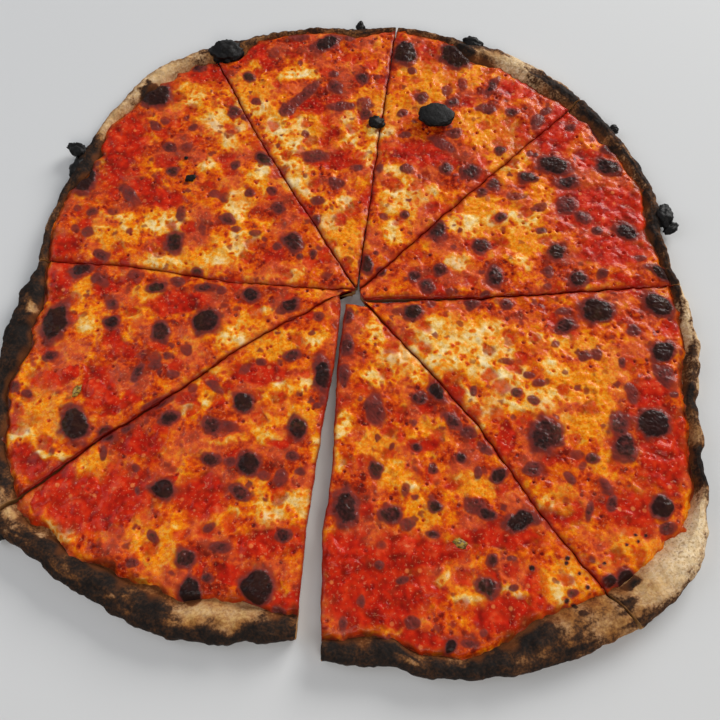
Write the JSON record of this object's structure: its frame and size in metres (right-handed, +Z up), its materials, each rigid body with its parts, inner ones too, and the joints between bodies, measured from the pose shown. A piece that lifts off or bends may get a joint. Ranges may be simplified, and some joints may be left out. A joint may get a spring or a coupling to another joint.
{
  "type": "pizza",
  "caption": "Thin charred pizza with tomato sauce and melted cheese, cut into wedges that keep its uneven round, with a gap along a cut and a loose burnt bubble cap on top.",
  "frame": {"origin": "on the resting plane under the middle of the whole, all slices included", "axes": "+Z up through the thickness, +Y away from the picture's viewer, +X to its right; the long gap between two slices runs towards -Y"},
  "size_m": [0.3946, 0.4146, 0.0154],
  "materials": {
    "crust": "baked dough, floured in places and burnt black along the edge",
    "sauce": "cooked tomato sauce, wet",
    "cheese": "melted cheese, oily, stained by tomato, with dark blisters",
    "burnt": "burnt dough, dull black"
  },
  "bodies": {
    "root": {"crust_1": "crust", "sauce_1": "sauce", "cheese_1": "cheese", "crust_2": "crust", "sauce_2": "sauce", "cheese_2": "cheese", "crust_3": "crust", "sauce_3": "sauce", "cheese_3": "cheese", "crust_4": "crust", "sauce_4": "sauce", "cheese_4": "cheese", "crust_5": "crust", "sauce_5": "sauce", "cheese_5": "cheese", "crust_6": "crust", "sauce_6": "sauce", "cheese_6": "cheese", "crust_7": "crust", "sauce_7": "sauce", "cheese_7": "cheese", "crust_8": "crust", "sauce_8": "sauce", "cheese_8": "cheese", "burnt_cap": "burnt"}
  },
  "joints": []
}
